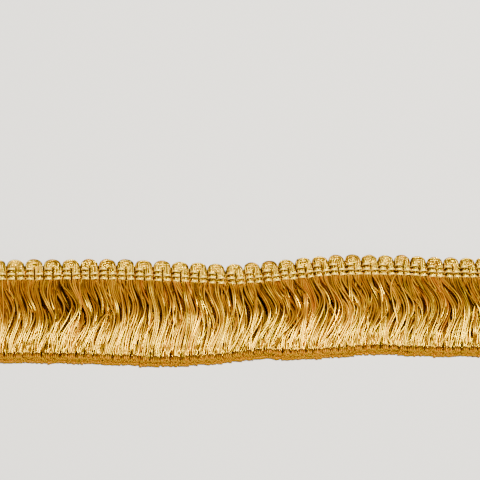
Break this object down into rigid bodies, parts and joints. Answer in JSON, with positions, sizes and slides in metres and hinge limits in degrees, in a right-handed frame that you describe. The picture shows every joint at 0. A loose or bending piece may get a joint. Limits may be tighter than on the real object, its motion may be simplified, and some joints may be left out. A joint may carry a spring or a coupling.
{
  "type": "brush fringe",
  "caption": "Cut length of gold brush fringe: looped heading bound by three threads over a dense brush of fine twisted yarn, cut ends held by a lock stitch.",
  "frame": {"origin": "middle of the flat back, on the surface the fringe lies on", "axes": "+X along the length, +Y from the cut ends to the looped heading, +Z out of the face"},
  "size_m": [0.1792, 0.041, 0.0036],
  "materials": {
    "yarn": "satin",
    "binder_thread": "satin",
    "lock_thread": "matte"
  },
  "bodies": {
    "root": {"loop_01": "yarn", "loop_02": "yarn", "loop_03": "yarn", "loop_04": "yarn", "loop_05": "yarn", "loop_06": "yarn", "loop_07": "yarn", "loop_08": "yarn", "loop_09": "yarn", "loop_10": "yarn", "loop_11": "yarn", "loop_12": "yarn", "loop_13": "yarn", "loop_14": "yarn", "loop_15": "yarn", "loop_16": "yarn", "loop_17": "yarn", "loop_18": "yarn", "loop_19": "yarn", "loop_20": "yarn", "loop_21": "yarn", "loop_22": "yarn", "loop_23": "yarn", "loop_24": "yarn", "loop_25": "yarn", "loop_26": "yarn", "loop_27": "yarn", "loop_28": "yarn", "loop_29": "yarn", "loop_30": "yarn", "loop_31": "yarn", "loop_32": "yarn", "loop_33": "yarn", "binder_1": "binder_thread", "binder_2": "binder_thread", "binder_3": "binder_thread", "brush": "yarn", "lock_stitch": "lock_thread"}
  },
  "joints": []
}
